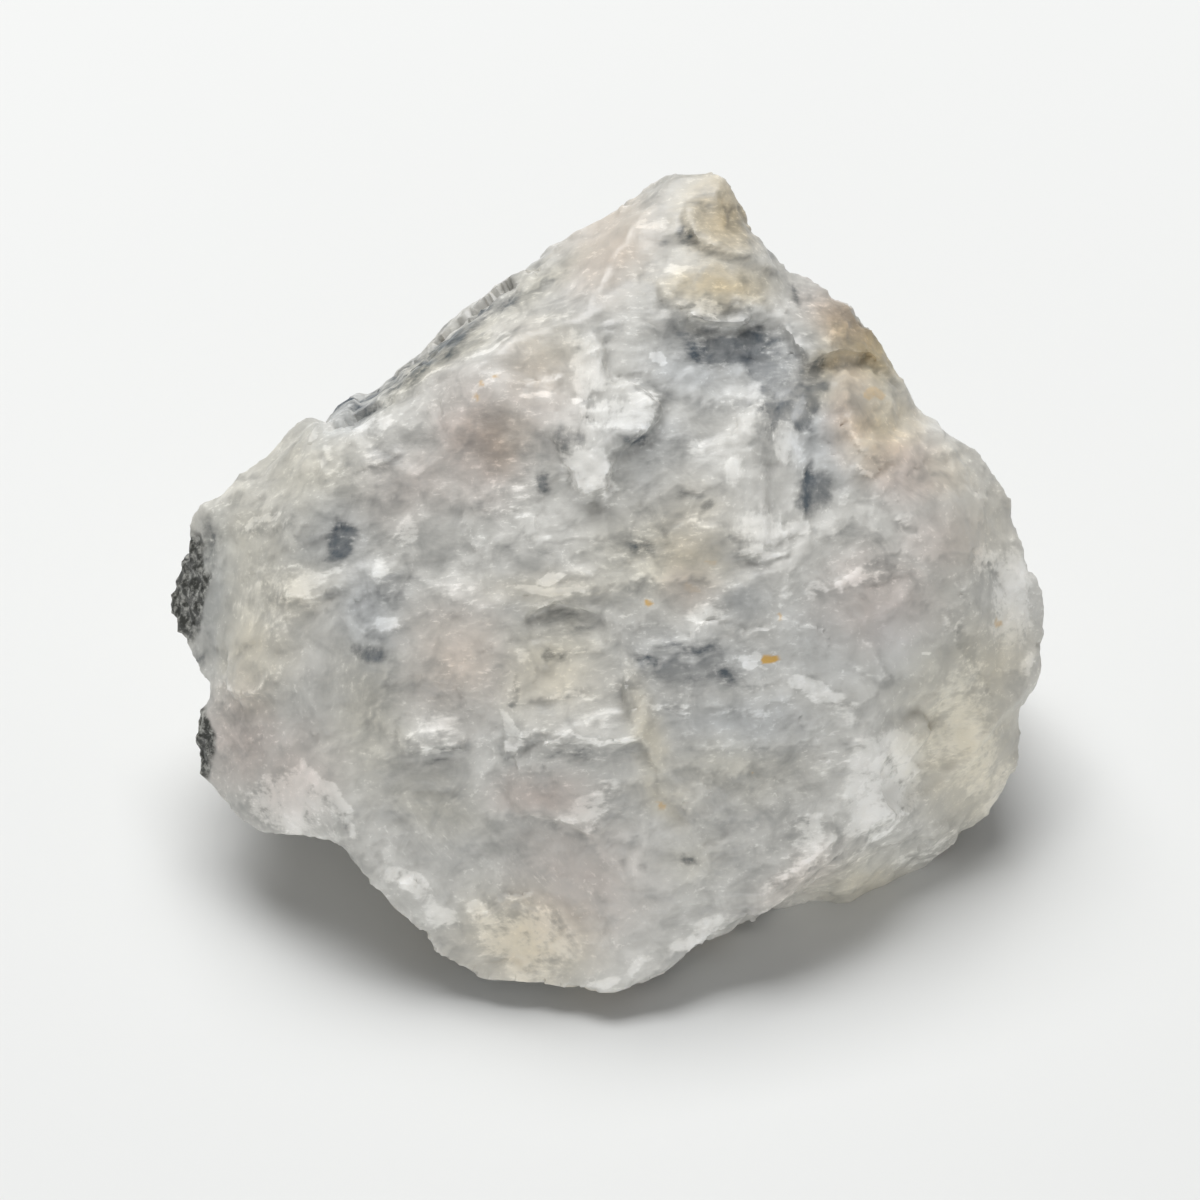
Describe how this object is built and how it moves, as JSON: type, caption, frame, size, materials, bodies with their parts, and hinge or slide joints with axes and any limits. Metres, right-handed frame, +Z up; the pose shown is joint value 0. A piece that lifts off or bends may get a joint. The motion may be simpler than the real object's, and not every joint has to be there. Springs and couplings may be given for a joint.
{
  "type": "rough feldspar chunk",
  "caption": "Rough broken chunk of pale lilac-grey feldspar with stepped cleavage faces and a dark mica crust on its left edge, resting on a flat broken base.",
  "frame": {"origin": "on the base plane, under the middle of the stone's bounding box", "axes": "+X along the stone's width, to the right as seen in the picture; +Y away from the viewer; +Z up from the base"},
  "size_m": [0.059, 0.045, 0.0378],
  "materials": {
    "stone": "broken surface, satin, with glassy glints on cleavage faces and a granular dark crust on the left edge"
  },
  "bodies": {
    "root": {"stone": "stone"}
  },
  "joints": []
}
